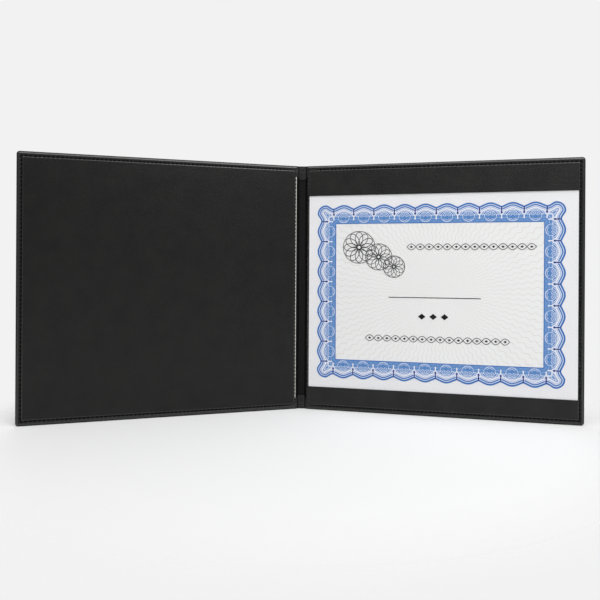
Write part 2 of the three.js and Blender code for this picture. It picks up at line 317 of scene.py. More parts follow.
# Puts a geometry tree on an object, with a value for each of its inputs by name
def addTree(target, tree, values):
    modifier = target.modifiers.new(tree.name, "NODES")
    modifier.node_group = tree
    for item in tree.interface.items_tree:
        if item.name in values:
            modifier[item.identifier] = values[item.name]


def newMaterial(name, roughness=0.5, specular=0.5):
    material = bpy.data.materials.new(name)
    material.use_nodes = True
    tree = material.node_tree
    shader = tree.nodes["Principled BSDF"]
    feed(tree, shader, {"Roughness": roughness, "Specular IOR Level": specular})
    return material, tree, shader


# A colour from three levels of 0 to 255 as they are seen on a screen
def linear(*levels):
    def decode(level):
        share = level / 255
        return share / 12.92 if share <= 0.04045 else ((share + 0.055) / 1.055) ** 2.4
    return tuple(decode(level) for level in levels) + (1.0,)


def rampBetween(tree, factor, stops):
    ramp = addNode(tree, "ShaderNodeValToRGB", {"Fac": factor})
    elements = ramp.color_ramp.elements
    while len(elements) < len(stops):
        elements.new(0.5)
    for element, (position, color) in zip(elements, stops):
        element.position = position
        element.color = color
    return ramp.outputs["Color"]


def bumpFrom(tree, height, distance, strength=1.0, under=None):
    values = {"Height": height, "Distance": distance, "Strength": strength}
    return addNode(tree, "ShaderNodeBump", values | ({"Normal": under} if under else {}))


def objectPlace(tree):
    return addNode(tree, "ShaderNodeTexCoord").outputs["Object"]


# Noise as a height, and the colour that it picks between a look's dark and light
def noiseTones(tree, look, place, low=0.3, high=0.7):
    values = {"Vector": place, "Scale": look["scale"], "Detail": look["detail"]}
    height = addNode(tree, "ShaderNodeTexNoise", values)
    return height, rampBetween(tree, height, [(low, look["dark"]), (high, look["light"])])


# A plain material with its tones and its fine relief from one noise
def makePlain(name, look):
    material, tree, shader = newMaterial(name, look["roughness"], look["specular"])
    height, color = noiseTones(tree, look, objectPlace(tree))
    feed(tree, shader, {"Base Color": color})
    if look["depth"]:
        feed(tree, shader, {"Normal": bumpFrom(tree, height, look["depth"])})
    return material


# Leather grain: fine pebbles of two sizes with pores, as a height and a slow mottling mask
def makeGrainGroup():
    tree, source, result = newGroup("leatherGrain", "ShaderNodeTree", [
        ("Vector", "Vector"),
        ("Pebbles per metre", "Float", 1400),
        ("Pores per metre", "Float", 2600),
    ], [("Height", "Float"), ("Mottle", "Float")])
    place = source["Vector"]
    values = {"Vector": place, "Scale": source["Pebbles per metre"], "Smoothness": 0.6}
    pebbles = addNode(tree, "ShaderNodeTexVoronoi", values, feature="SMOOTH_F1")
    values = {"Vector": place, "Scale": source["Pores per metre"], "Detail": 3, "Roughness": 0.6}
    pores = addNode(tree, "ShaderNodeTexNoise", values)
    mottle = addNode(tree, "ShaderNodeTexNoise", {"Vector": place, "Scale": 55, "Detail": 4})
    raised = mathNode(tree, "MULTIPLY", pebbles, -0.7)
    feed(tree, result, {"Height": mathNode(tree, "ADD", raised, pores), "Mottle": mottle})
    return tree


grainGroup = makeGrainGroup()

# What a row of stitches does to the leather beside it: painted shade along the line, darkest at each
# stitch, a small pucker at each stitch, and strips with a glossier coat and a painted highlight. Lengths
# are in mm.
seamPuckerAndShade = {
    "halfWidth": 0.75,
    "puckerReach": 2.4,
    "lineEdge": 1.9,        # the painted shade is full up to 0.9 half widths and gone at this many
    "dash": 1.2,
    "glossAndHighlightStrips": [(-2.9, 1.6), (1.35, 0.7)],   # middle and reach of the strips with a coat and a painted highlight: the bead outside, the brow inside
}


def makeSeamGroup(look):
    tree, source, result = newGroup("seamPuckerAndShade", "ShaderNodeTree", [
        ("Distance", "Float"),
        ("Along", "Float"),
        ("Pitch", "Float", evenPitch),
        ("Half width", "Float", look["halfWidth"]),
        ("Pucker reach", "Float", look["puckerReach"]),
    ], [("Shade", "Float"), ("Height", "Float"), ("Polish", "Float")])
    calc = partial(mathNode, tree)
    away = calc("ABSOLUTE", source["Distance"])
    line = calc("SUBTRACT", look["lineEdge"], calc("DIVIDE", away, source["Half width"]), clamp=True)
    wave = calc("COSINE", calc("MULTIPLY", calc("DIVIDE", source["Along"], source["Pitch"]), 2 * math.pi))
    fade = calc("SUBTRACT", 1, calc("DIVIDE", away, source["Pucker reach"]), clamp=True)
    dash = calc("ADD", calc("MULTIPLY", wave, look["dash"]), look["dash"], clamp=True)
    strips = []
    for middle, reach in look["glossAndHighlightStrips"]:
        offset = calc("ABSOLUTE", calc("SUBTRACT", source["Distance"], middle))
        strips.append(calc("SUBTRACT", 1, calc("DIVIDE", offset, reach), clamp=True))
    feed(tree, result, {
        "Shade": calc("MULTIPLY", line, dash),
        "Height": calc("MULTIPLY", wave, fade),
        "Polish": calc("MAXIMUM", *strips),
    })
    return tree


seamGroup = makeSeamGroup(seamPuckerAndShade)

leatherette = {
    "dark": linear(16, 16, 16),
    "light": linear(27, 27, 26),
    # painted shade: the colour that the leather darkens to along the seam line
    "grooveShade": linear(3, 3, 3),
    "specular": 0.325,
    "smooth": 0.33,
    "rough": 0.45,
    "pebbles": 800,
    "pores": 1700,
    "grainDepth": 0.0003,
    "puckerDepth": 0.00010,
    "polish": 0.75,
    # painted highlight: the lighter colour of the strips beside the seam, mixed in at the share below
    "paintedHighlight": linear(37, 37, 36),
    "paintedHighlightShare": 0.6,
    "dull": 0.4,
    "coatRough": 0.28,
}
liningLook = {
    **leatherette,
    "dark": linear(11, 11, 11),
    "light": linear(19, 19, 18),
    "specular": 0.305,
    "pebbles": 1000,
    "grainDepth": 0.00017,
}


def makeLeather(name, look):
    material, tree, shader = newMaterial(name, specular=look["specular"])
    calc = partial(mathNode, tree)
    grain = addNode(tree, "ShaderNodeGroup", {
        "Vector": objectPlace(tree),
        "Pebbles per metre": look["pebbles"],
        "Pores per metre": look["pores"],
    }, node_tree=grainGroup).outputs
    line = addNode(tree, "ShaderNodeAttribute", attribute_name="seam").outputs["Vector"]
    axes = addNode(tree, "ShaderNodeSeparateXYZ", {"Vector": line}).outputs
    values = {"Distance": axes["X"], "Along": axes["Y"]}
    pull = addNode(tree, "ShaderNodeGroup", values, node_tree=seamGroup).outputs
    color = rampBetween(tree, grain["Mottle"], [(0.3, look["dark"]), (0.7, look["light"])])
    # painted highlight: the strips beside the seam are lighter in colour
    glint = mixColors(tree, calc("MULTIPLY", pull["Polish"], look["paintedHighlightShare"]), color, look["paintedHighlight"])
    shine = calc("MULTIPLY", grain["Height"], look["rough"] - look["smooth"])
    dull = calc("MULTIPLY", pull["Shade"], look["dull"])
    pucker = bumpFrom(tree, pull["Height"], look["puckerDepth"])
    feed(tree, shader, {
        # painted shade: the leather's colour darkens along the seam line
        "Base Color": mixColors(tree, pull["Shade"], glint, look["grooveShade"]),
        "Roughness": calc("ADD", calc("ADD", shine, look["smooth"]), dull),
        "Coat Weight": calc("MULTIPLY", pull["Polish"], look["polish"]),
        "Coat Roughness": look["coatRough"],
        "Normal": bumpFrom(tree, grain["Height"], look["grainDepth"], under=pucker),
    })
    return material


leatherMaterial = makeLeather("blackLeatherette", leatherette)
liningMaterial = makeLeather("blackLining", liningLook)

# The cloth back of the leatherette shows only inside the creases; the spine liner is cloth too
backingLook = {
    "dark": linear(6, 6, 6),
    "light": linear(13, 13, 13),
    "scale": 2600,
    "detail": 3,
    "depth": 0.00008,
    "roughness": 0.85,
    "specular": 0.15,
}
spineLook = {
    **backingLook,
    "dark": linear(16, 16, 16),
    "light": linear(23, 23, 23),
    "scale": 1500,
    "depth": 0.0001,
}
backingMaterial = makePlain("clothBacking", backingLook)
spineMaterial = makePlain("spineCloth", spineLook)

threadLook = {
    "dark": linear(1, 1, 1),
    "light": linear(5, 5, 5),
    "glint": linear(70, 70, 69),   # painted highlight: the thread is lighter near the spine's middle
    "glintFrom": 0.02,
    "glintTo": 0.008,
    "scale": 2600,
    "detail": 2,
    "depth": 0.00008,
    "roughness": 0.55,
    "specular": 0.08,
}


def makeThread(look):
    material, tree, shader = newMaterial("blackThread", look["roughness"], look["specular"])
    place = objectPlace(tree)
    height, color = noiseTones(tree, look, place, 0.35, 0.75)
    axes = addNode(tree, "ShaderNodeSeparateXYZ", {"Vector": place})
    # painted highlight: the thread lightens towards the spine's middle
    fromMiddle = mathNode(tree, "ABSOLUTE", axes.outputs["X"])
    values = {"Value": fromMiddle, "From Min": look["glintFrom"], "From Max": look["glintTo"]}
    near = addNode(tree, "ShaderNodeMapRange", values)
    feed(tree, shader, {
        "Base Color": mixColors(tree, near, color, look["glint"]),
        "Normal": bumpFrom(tree, height, look["depth"]),
    })
    return material


threadMaterial = makeThread(threadLook)

paperLook = {
    "dark": linear(237, 237, 240),
    "light": linear(243, 243, 245),
    "scale": 0.6,
    "detail": 5,
    "depth": 0.00002,
    "strength": 0.4,
    "field": linear(242, 242, 242),
    "ray": linear(231, 228, 224),
    "rays": 96,
    "waves": 0.105,
    "waveAngle": 0.011,
    "rayWidth": 0.2,
}


# The paper carries a faint ground of wavy rays inside the printed border
def makePaper(look, middle, half):
    material, tree, shader = newMaterial("certificatePaper", 0.8)
    calc = partial(mathNode, tree)
    uv = addNode(tree, "ShaderNodeUVMap", uv_map="sheet").outputs["UV"]
    place = addNode(tree, "ShaderNodeSeparateXYZ", {"Vector": uv}).outputs
    across = calc("SUBTRACT", place["X"], middle[0])
    up = calc("SUBTRACT", place["Y"], middle[1])
    reach = calc("SQRT", calc("ADD", calc("MULTIPLY", across, across), calc("MULTIPLY", up, up)))
    wave = calc("SINE", calc("MULTIPLY", reach, 2 * math.pi * look["waves"]))
    angle = calc("ADD", calc("ARCTAN2", up, across), calc("MULTIPLY", wave, look["waveAngle"]))
    turns = calc("MULTIPLY", calc("MULTIPLY", angle, look["rays"]), 0.5)
    ray = calc("LESS_THAN", calc("ABSOLUTE", calc("SINE", turns)), look["rayWidth"])
    insideAcross = calc("LESS_THAN", calc("ABSOLUTE", across), half[0])
    insideUp = calc("LESS_THAN", calc("ABSOLUTE", up), half[1])
    height, margin = noiseTones(tree, look, uv)
    field = mixColors(tree, ray, look["field"], look["ray"])
    inside = calc("MULTIPLY", insideAcross, insideUp)
    feed(tree, shader, {
        "Base Color": mixColors(tree, inside, margin, field),
        "Normal": bumpFrom(tree, height, look["depth"], look["strength"]),
    })
    return material


print("materials made")

# Camera and light

cameraLook = {
    "distance": 0.6769,
    "height": 0.1595,
    "yaw": math.radians(1.61),
    "roll": math.radians(-0.33),
    "shiftAcross": -0.0015,
    "sideStep": -0.0012,
    "lens": 36,
    "sensor": 36,
    "horizonRow": 266.7,    # in the photo, from the top
    "imageSize": 600,
}


def makeCamera(look):
    data = bpy.data.cameras.new("camera")
    data.lens = look["lens"]
    data.sensor_width = look["sensor"]
    data.shift_y = (look["horizonRow"] - look["imageSize"] / 2) / look["imageSize"]
    data.shift_x = look["shiftAcross"]
    data.clip_start = 0.01
    camera = addObject("camera", data)
    cosine, sine = math.cos(look["yaw"]), math.sin(look["yaw"])
    camera.location = (
        look["sideStep"] * cosine - look["distance"] * sine,
        creaseY * mm - look["sideStep"] * sine - look["distance"] * cosine,
        look["height"],
    )
    camera.rotation_euler = (math.pi / 2, look["roll"], -look["yaw"])
    bpy.context.scene.camera = camera


makeCamera(cameraLook)

studio = {
    "backdrop": linear(242, 242, 242),
    "floor": linear(233, 233, 233),
    "floorReach": 6,
    "worldLevel": 0.36,
    "fadeFrom": 0.25,       # the floor fades into the backdrop between these distances, in metres
    "fadeTo": 0.36,
    "lamps": [
        {"name": "backLamp", "at": (-0.5, 1.3, 0.9), "size": (0.9, 0.9), "power": 5},
        {"name": "topLamp", "at": (0.0, -0.35, 1.45), "size": (1.6, 0.7), "power": 13},
        {"name": "keyLamp", "at": (0.62, -1.05, 1.3), "size": (0.7, 0.7), "power": 11},
    ],
}


# A mix of two shaders: the first where share is 0, the second where it is 1
def mixShaders(tree, share, first, second):
    return addNode(tree, "ShaderNodeMixShader", {"Fac": share, 1: first, 2: second})


# A plain pale floor that takes shadows. Seen from the camera it fades into the backdrop.
def makeFloorMaterial(look):
    material, tree, shader = newMaterial("paleFloor", 0.9, 0)
    feed(tree, shader, {"Base Color": look["floor"]})
    reach = addNode(tree, "ShaderNodeVectorMath", {0: objectPlace(tree)}, operation="LENGTH")
    values = {"Value": reach.outputs["Value"], "From Min": look["fadeFrom"], "From Max": look["fadeTo"]}
    fade = addNode(tree, "ShaderNodeMapRange", values, interpolation_type="SMOOTHSTEP")
    path = addNode(tree, "ShaderNodeLightPath")
    seen = mathNode(tree, "MULTIPLY", fade, path.outputs["Is Camera Ray"])
    blend = mixShaders(tree, seen, shader, addNode(tree, "ShaderNodeBsdfTransparent"))
    feed(tree, tree.nodes["Material Output"], {"Surface": blend})
    return material


# The world lights the scene at one level, and the camera sees the backdrop's own
def makeWorld(look):
    world = bpy.data.worlds.new("studio")
    world.use_nodes = True
    tree = world.node_tree
    background = tree.nodes["Background"]
    feed(tree, background, {"Color": (1, 1, 1, 1), "Strength": look["worldLevel"]})
    seen = addNode(tree, "ShaderNodeBackground", {"Color": look["backdrop"]})
    path = addNode(tree, "ShaderNodeLightPath")
    blend = mixShaders(tree, path.outputs["Is Camera Ray"], background, seen)
    feed(tree, tree.nodes["World Output"], {"Surface": blend})
    bpy.context.scene.world = world


def makeStudio(look):
    bpy.context.scene.view_settings.view_transform = "Standard"
    makeWorld(look)
    for lamp in look["lamps"]:
        data = bpy.data.lights.new(lamp["name"], "AREA")
        data.shape = "RECTANGLE"
        data.size, data.size_y = lamp["size"]
        data.energy = lamp["power"]
        lampObject = addObject(lamp["name"], data)
        lampObject.location = lamp["at"]
        aim = Vector((0, 0, leafHeight * mm / 2)) - Vector(lamp["at"])
        lampObject.rotation_euler = aim.to_track_quat("-Z", "Y").to_euler()
    reach = look["floorReach"]
    corners = [(-reach, -reach, 0), (reach, -reach, 0), (reach, reach, 0), (-reach, reach, 0)]
    mesh = bpy.data.meshes.new("floor")
    mesh.from_pydata(corners, [], [(0, 1, 2, 3)])
    mesh.materials.append(makeFloorMaterial(look))
    addObject("floor", mesh)


makeStudio(studio)
print("camera and studio made")

# The outer cover: one sheet of leatherette for each half, from the middle of the spine over
# the crease, round the leaf's board and turned in on three sides

cover = {
    "thickness": 0.6,
    "cornerRadius": 3.1,
    "cornerSteps": 6,
    "leafFold": (2.3, 0.7),   # depth of the turned-in layer and radius of the fold, at mid-sheet
    "spineFold": (1.8, 0.9),
    "foldSpan": (-0.6, 1.8),  # the spine's fold passes into the leaf's between these
    "turnIn": 12,
    "spineTurnIn": 15,
    "bendHalf": 0.9,
    "bendSteps": 60,
    "creasePinch": 0.3,
    "pinchMiddle": 0.2,
    "pinchHalf": 0.9,
    "creaseSink": 0.22,
    "creaseHalf": 0.8,
    "creaseReach": 1.6,
    # scale and middle of the seam's painted shade at the inner crease
    "creaseShade": 0.7,
    "creaseShadeMiddle": 0.1,
    "seamReach": 1.9,
    "seamSink": 0.22,
    "sinkSpan": (0.2, 1.1),
    "outerInsets": [14, 10, 7.5, 6.3, 5.6, 5.1, 4.7, 4.3, 3.8, 3.1, 2.2, 1.4],
    "foldSteps": 5,
    "innerInsets": [0.25, 0.5, 0.75, 1],
    "creaseLines": [-3.6, -2.8, -2.0, -1.4, -0.9, -0.6, -0.3, 0, 0.3, 0.6, 0.9, 1.3, 1.8, 2.4, 2.9,
                    3.4, 3.75, 4.05, 4.35, 4.7, 5.3, 6.2, 8, 11],
    "leafLines": 40,
    "rows": 36,
    "softAngle": 50,
}


# The unit step along the sheet at a turn
def stepAt(angle):
    return Vector((math.cos(angle), -math.sin(angle)))


# The middle line of the sheet across the crease, which turns from the spine to the leaf
def makeBend(half, steps):
    points = [Vector((-half, 0))]
    for step in range(steps):
        angle = leafTurn * smooth(0, 1, (step + 0.5) / steps)
        points.append(points[-1] + stepAt(angle) * 2 * half / steps)
    return points


bendLine = makeBend(cover["bendHalf"], cover["bendSteps"])


def bentPoint(side, along, depth, high):
    half, steps = cover["bendHalf"], cover["bendSteps"]
    share = min(max((along + half) / (2 * half), 0), 1)
    angle = leafTurn * smooth(0, 1, share)
    place = min(int(share * steps), steps - 1)
    base = bendLine[place].lerp(bendLine[place + 1], share * steps - place)
    if along < -half:
        base = bendLine[0] + Vector((along + half, 0))
    if along > half:
        base = bendLine[-1] + stepAt(angle) * (along - half)
    x = creaseX + base.x - depth * math.sin(angle)
    y = creaseY + base.y - depth * math.cos(angle)
    return Vector((side * x, y, high)) * mm


# Distance to the nearer of the two runs of stitches along the head and the tail
def toRun(high):
    return min(abs(high - seamLow), abs(high - seamHigh))


def outerSink(along, high):
    reach = abs(insideSeam(along, high)) if along > seamStart - 1 else math.inf
    if along <= seamStart:
        reach = min(reach, toRun(high))
    crease = cover["creaseSink"] * math.exp(-(along / cover["creaseHalf"]) ** 2)
    return cover["seamSink"] * (1 - smooth(*cover["sinkSpan"], reach)) + crease


# Depth and radius of the fold at the edge, and how far the sheet is turned in
def foldAt(along):
    share = smooth(*cover["foldSpan"], along)
    depth, radius = (mix(*pair, share) for pair in zip(cover["spineFold"], cover["leafFold"]))
    pinch = math.exp(-((along - cover["pinchMiddle"]) / cover["pinchHalf"]) ** 2)
    depth *= 1 - cover["creasePinch"] * pinch
    return depth, min(radius, depth / 2), mix(cover["spineTurnIn"], cover["turnIn"], share)


# Inset from the edge and depth of each line of the sheet, from the outer face round the fold
def station(index, along):
    depth, radius, turnIn = foldAt(along)
    rim = cover["thickness"] / 2
    outer, steps = cover["outerInsets"], cover["foldSteps"]
    if index < len(outer):
        return max(outer[index], rim + radius), 0
    index -= len(outer)
    if index < 2 * steps:
        angle = index % steps / (steps - 1) * math.pi / 2
        rise, fall = radius * (1 - math.cos(angle)), radius * (1 - math.sin(angle))
        return (rim + fall, rise) if index < steps else (rim + rise, depth - fall)
    return mix(rim + radius, turnIn, cover["innerInsets"][index - 2 * steps]), depth


# The place on the seam that shades the cover's leather: distance from the line, and how far along.
# At the inner crease the distance is a small one, so the crease takes the seam's painted shade.
def coverSeam(along, high, outside):
    if outside and along > seamStart - cover["seamReach"]:
        return seamPlace(along, high)
    if outside or abs(along) > cover["creaseReach"]:
        return toRun(high), along
    return cover["creaseShade"] * abs(along - cover["creaseShadeMiddle"]), 0


def makeCover(side):
    columns = [-creaseX] + cover["creaseLines"]
    plainEnd = columns[-1]
    corner, cornerSteps, rows = cover["cornerRadius"], cover["cornerSteps"], cover["rows"]
    count = cover["leafLines"]
    columns += [mix(plainEnd, leafEnd - corner, (index + 1) / count) for index in range(count)]
    stations = len(cover["outerInsets"]) + 2 * cover["foldSteps"] + len(cover["innerInsets"])
    points, seams = [], []

    def addPoint(along, depth, high, outside):
        sink = outerSink(along, high) if outside else 0
        points.append(bentPoint(side, along, depth + sink, high))
        seams.append(coverSeam(along, high, outside))

    def spread(along, end):   # the columns beyond the crease spread as far as a given end
        share = (along - plainEnd) / (leafEnd - corner - plainEnd)
        return along if along <= plainEnd else mix(plainEnd, end, share)

    def cornerArc(inset, depth, radius, middle, turn):
        arc = []
        for step in range(1, cornerSteps):
            angle = (step / cornerSteps + turn) * math.pi / 2
            reach = radius - inset
            along, high = leafEnd - radius + reach * math.cos(angle), middle + reach * math.sin(angle)
            arc.append((along, depth, high))
        return arc

    for index in range(stations):
        outside = index < len(cover["outerInsets"])
        inset, depth = station(index, leafEnd)
        radius = max(corner, inset)
        places = [(along, *station(index, along)) for along in columns]
        lowSide = [(spread(along, leafEnd - radius), deep, high) for along, high, deep in places]
        path = lowSide + cornerArc(inset, depth, radius, radius, -1)
        for row in range(rows + 1):
            path.append((leafEnd - inset, depth, mix(radius, leafHeight - radius, row / rows)))
        path += cornerArc(inset, depth, radius, leafHeight - radius, 0)
        path += [(along, deep, leafHeight - high) for along, deep, high in reversed(lowSide)]
        for place in path:
            addPoint(*place, outside)
    faces = gridFaces(0, len(points) // stations, stations)
    faces += gridFaces(len(points), len(columns), rows + 1)
    inset = cover["outerInsets"][0]
    for row in range(rows + 1):
        for along in columns:
            addPoint(spread(along, leafEnd - inset), 0, mix(inset, leafHeight - inset, row / rows), True)
    name = "leftCover" if side == left else "rightCover"
    sheet = makePiece(name, points, faces, leatherMaterial, seams)
    wall = sheet.modifiers.new("wall", "SOLIDIFY")
    wall.thickness = cover["thickness"] * mm
    wall.offset = 0
    wall.use_even_offset = True
    sheet.data.materials.append(backingMaterial)
    wall.material_offset = 1
    piece = bakeModifiers(sheet, name)
    cleanMesh(piece.data)
    softenEdges(piece.data, cover["softAngle"])
    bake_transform(piece)
    return piece


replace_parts(makeCover(left), "left_skin", "spine_skin")
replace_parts(makeCover(right), "right_skin")
print("outer cover made")

# The linings, sewn down along the seam

leastWall = 0.15
lining = {
    "bead": 0.3,
    "beadFall": 0.85,
    "beadReach": 1.7,
    "field": 0.2,
    "crown": 0.12,
    "wave": (60, 0.05, 3),      # size, height and seed of the slow unevenness
    "waveSpan": (2, 12),
    "body": 2.3,
    "lip": 0.7,
    "edgeLines": [0, 0.06, 0.18, 0.36, 0.6, 1.1, 1.7, 2.2, 2.6, 3.0, 3.25, 3.5, 3.75, 4.0, 4.4, 4.8,
                  5.3, 6.2, 8, 11],
    "spineLines": [0, 0.06, 0.18, 0.36, 0.6, 0.9, 1.25, 1.5, 1.75, 2.0, 2.25, 2.6, 3.0, 3.5, 4.5, 6.5, 9],
    "step": 5,
}


def makeLining(side):
    alongSpan, depthSpan, highSpan = liningSpan
    padded = side == left   # the pocket covers the right lining, which lies flat
    field, crown = (lining["field"], lining["crown"]) if padded else (0, 0)
    face = innerFace - closedDrop if padded else innerFace

    def top(along, high):
        rim = min(along - alongSpan[0], alongSpan[1] - along, high - highSpan[0], highSpan[1] - high)
        relief = seamRelief(along, high, lining["bead"], field, crown)
        wave = ripple(along, high, *lining["wave"]) * smooth(*lining["waveSpan"], insideSeam(along, high))
        return face + relief - rimSlope(rim, lining["beadFall"], lining["beadReach"]) + wave

    def bottom(along, high):
        if along < alongSpan[0] + lining["lip"]:
            return depthSpan[0]
        return min(depthSpan[0] + lining["body"], top(along, high) - leastWall)

    columns = linesBetween(*alongSpan, lining["spineLines"], lining["edgeLines"], lining["step"])
    rows = linesBetween(*highSpan, lining["edgeLines"], lining["edgeLines"], lining["step"])
    name, node = ("leftLining", "left_lining") if padded else ("rightLining", "right_lining")
    piece = gridSheet(name, side, columns, rows, top, bottom, liningMaterial, corners=((1, 0), (1, 1)))
    finishPiece(piece, bodyOf[side], "lining", node)
    return piece


makeLining(left)
makeLining(right)
print("linings made")

# The spine's inner liner, under the turned-in head and tail of the cover

spineLiner = {
    "roll": 0.3,
    "wave": (30, 0.03, 8),
    "edgeLines": [0, 0.05, 0.15, 0.3, 0.6, 1.2],
    "endLines": [0, 1, 3],
    "step": 6,
}


def makeSpineLiner(look):
    acrossSpan, depthSpan, highSpan = leafSpan("spine_liner", turn=0)

    def top(along, high):
        rim = min(along - acrossSpan[0], acrossSpan[1] - along)
        return depthSpan[1] - edgeDrop(rim, look["roll"]) + ripple(along, high, *look["wave"])

    columns = linesBetween(*acrossSpan, look["edgeLines"], look["edgeLines"], 1)
    rows = linesBetween(*highSpan, look["endLines"], look["endLines"], look["step"])
    piece = gridSheet("spineLiner", right, columns, rows, top, lambda along, high: depthSpan[0],
                      spineMaterial, turn=0)
    finishPiece(piece, "spine", "lining", "spine_liner")


makeSpineLiner(spineLiner)

# The two bands of the pocket

band = {
    "bead": 0.25,
    "field": 0.22,
    "crown": 0.06,
    "beadFall": 0.85,
    "beadReach": 1.7,
    "hemRoll": 0.42,
    "hemRise": 0.03,
    "hemSpan": (1.4, 3.2),
    "hemLines": [0, 0.05, 0.14, 0.28, 0.45, 0.8, 1.4, 2.0, 2.3, 2.6, 3.2, 4.4, 6, 9],
    "wave": (45, 0.04, 5),
    "waveSpan": (1, 8),
    "tuck": 2.3,
    "tuckEnd": 0.25,
    "roofGap": 0.25,
    "step": 2,
}


def makeBand(name, node, isTop):
    alongSpan, depthSpan, highSpan = bandSpan["top" if isTop else "bottom"]
    hem = highSpan[0] if isTop else highSpan[1]

    def top(along, high):
        outer = highSpan[1] - high if isTop else high - highSpan[0]
        rim = min(along - alongSpan[0], alongSpan[1] - along, outer)
        slope = rimSlope(rim, band["beadFall"], band["beadReach"])
        drop = max(slope, edgeDrop(abs(high - hem), band["hemRoll"]))
        relief = seamRelief(along, high, band["bead"], band["field"], band["crown"])
        wave = ripple(along, high, *band["wave"]) * smooth(*band["waveSpan"], insideSeam(along, high))
        fold = band["hemRise"] * (1 - smooth(*band["hemSpan"], abs(high - hem)))
        return depthSpan[1] - closedDrop + relief + fold - drop + wave

    def bottom(along, high):
        opened = 1 - smooth(band["tuck"], band["tuck"] + band["tuckEnd"], abs(high - hem))
        roof = mix(depthSpan[0], depthSpan[1] - band["roofGap"], opened)
        return min(roof, top(along, high) - leastWall)

    columns = linesBetween(*alongSpan, lining["spineLines"], lining["edgeLines"], lining["step"])
    outerLines, hemLines = lining["edgeLines"], band["hemLines"]
    nearLow, nearHigh = (hemLines, outerLines) if isTop else (outerLines, hemLines)
    rows = linesBetween(*highSpan, nearLow, nearHigh, band["step"])
    corners = ((1, int(isTop)),)
    piece = gridSheet(name, right, columns, rows, top, bottom, leatherMaterial, corners=corners)
    finishPiece(piece, "right_leaf", "leatherette", node)


makeBand("topBand", "top_band", True)
makeBand("bottomBand", "bottom_band", False)
print("bands made")

# Certificate: the sheet, its border and the rules on it

border = {
    "pitch": 22.15,
    "lobesAcross": 10,
    "lobesUp": 7,
    "cornerReturn": 2.75,
    "cornerRadius": 9.3,
    "width": 17,
    "rise": 4,
    "cusp": 0.6,            # share of the rise that ends in a sharp valley
}
printMiddle = ((inkSpan[0][0] + inkSpan[0][1]) / 2, (inkSpan[2][0] + inkSpan[2][1]) / 2)
fieldHalf = [border[lobes] * border["pitch"] / 2 - border["cornerReturn"]
             for lobes in ("lobesAcross", "lobesUp")]
sheetStep = 14
sheetMiddle = (printMiddle[0] - sheetSpan[0][0], printMiddle[1] - sheetSpan[2][0])
paperMaterial = makePaper(paperLook, sheetMiddle, fieldHalf)


def makeCertificate():
    alongSpan, depthSpan, highSpan = sheetSpan
    columns, rows = (linesBetween(*span, [0, 1], [0, 1], sheetStep) for span in (alongSpan, highSpan))
    piece = gridSheet("certificateSheet", right, columns, rows, lambda along, high: depthSpan[1],
                      lambda along, high: depthSpan[0], paperMaterial)
    layer = piece.data.uv_layers.new(name="sheet")
    for loop in piece.data.loops:
        along, depth, high = toLeaf(piece.data.vertices[loop.vertex_index].co)
        layer.data[loop.index].uv = (along - alongSpan[0], high - highSpan[0])
    finishPiece(piece, "right_leaf", "certificate_paper", "certificate")


makeCertificate()
print("certificate made")

# Printed border and ornaments, as thin plates of ink one above the other

ink = {
    "step": 0.012,          # height of one layer of ink
    "pale": linear(214, 222, 240),
    "light": linear(150, 175, 219),
    "blue": linear(98, 144, 203),
    "deep": linear(50, 114, 188),
    "navy": linear(8, 48, 140),
    "white": linear(240, 241, 246),
    "ink": linear(24, 24, 26),
}
tones = {"white": 0.0, "pale": 0.15, "light": 0.3, "blue": 0.45, "deep": 0.6, "navy": 0.75, "ink": 0.9}


def makeInk(look):
    material, tree, shader = newMaterial("blueInk", 0.75, 0.15)
    tone = addNode(tree, "ShaderNodeAttribute", attribute_name="tone").outputs["Fac"]
    stops = [(tones[key], look[key]) for key in tones]
    feed(tree, shader, {"Base Color": rampBetween(tree, tone, stops)})
    return material


inkMaterial = makeInk(ink)


# Flat shapes of ink gathered in one mesh, in mm: x along, y up, z above the page
class inkShapes:
    def __init__(self):
        self.points, self.faces, self.tones = [], [], []

    def addFace(self, corners, tone):
        self.faces.append(corners)
        self.tones.append(tones[tone])

    def addPrism(self, outline, layer, tone):
        start, count = len(self.points), len(outline)
        for level in inkLevels(layer):
            self.points += [(x, y, level) for x, y in outline]
        self.addFace([start + index for index in range(count)], tone)
        self.addFace([start + count + index for index in reversed(range(count))], tone)
        for a in range(start, start + count):
            b = start + (a - start + 1) % count
            self.addFace([a, a + count, b + count, b], tone)

    # A line of ink along a path: its two sides are joined by quads above and below
    def addLine(self, path, width, layer, tone, closed=False):
        start, count = len(self.points), len(path)
        top, low = inkLevels(layer)
        for index, (x, y) in enumerate(path):
            before = path[index - 1] if closed or index else path[0]
            after = path[(index + 1) % count] if closed or index < count - 1 else path[-1]
            ahead = (Vector(after) - Vector((x, y))).normalized()
            behind = (Vector((x, y)) - Vector(before)).normalized()
            along = (ahead + behind).normalized()
            stretch = 1 / max(0.5, along.dot(ahead) if ahead.length else along.dot(behind))
            across = Vector((-along.y, along.x)) * width / 2 * stretch
            for sign, level in ((1, top), (-1, top), (-1, low), (1, low)):
                self.points.append((x + sign * across.x, y + sign * across.y, level))
        for index in range(count if closed else count - 1):
            a = start + index * 4
            b = start + (index + 1) % count * 4
            for corner in range(4):
                following = (corner + 1) % 4
                self.addFace([a + corner, a + following, b + following, b + corner], tone)
        if not closed:
            self.addFace([start + corner for corner in range(4)], tone)
            self.addFace([start + (count - 1) * 4 + corner for corner in (3, 2, 1, 0)], tone)

    def makeObject(self, name):
        mesh = bpy.data.meshes.new(name)
        mesh.from_pydata(self.points, [], self.faces)
        setAttribute(mesh, "tone", "FLOAT", "FACE", self.tones)
        return addObject(name, mesh)


# Heights of the top and the underside of a layer of ink
def inkLevels(layer):
    return inkSpan[1][1] + ink["step"] * (layer + 1), inkSpan[1][1] - ink["step"]


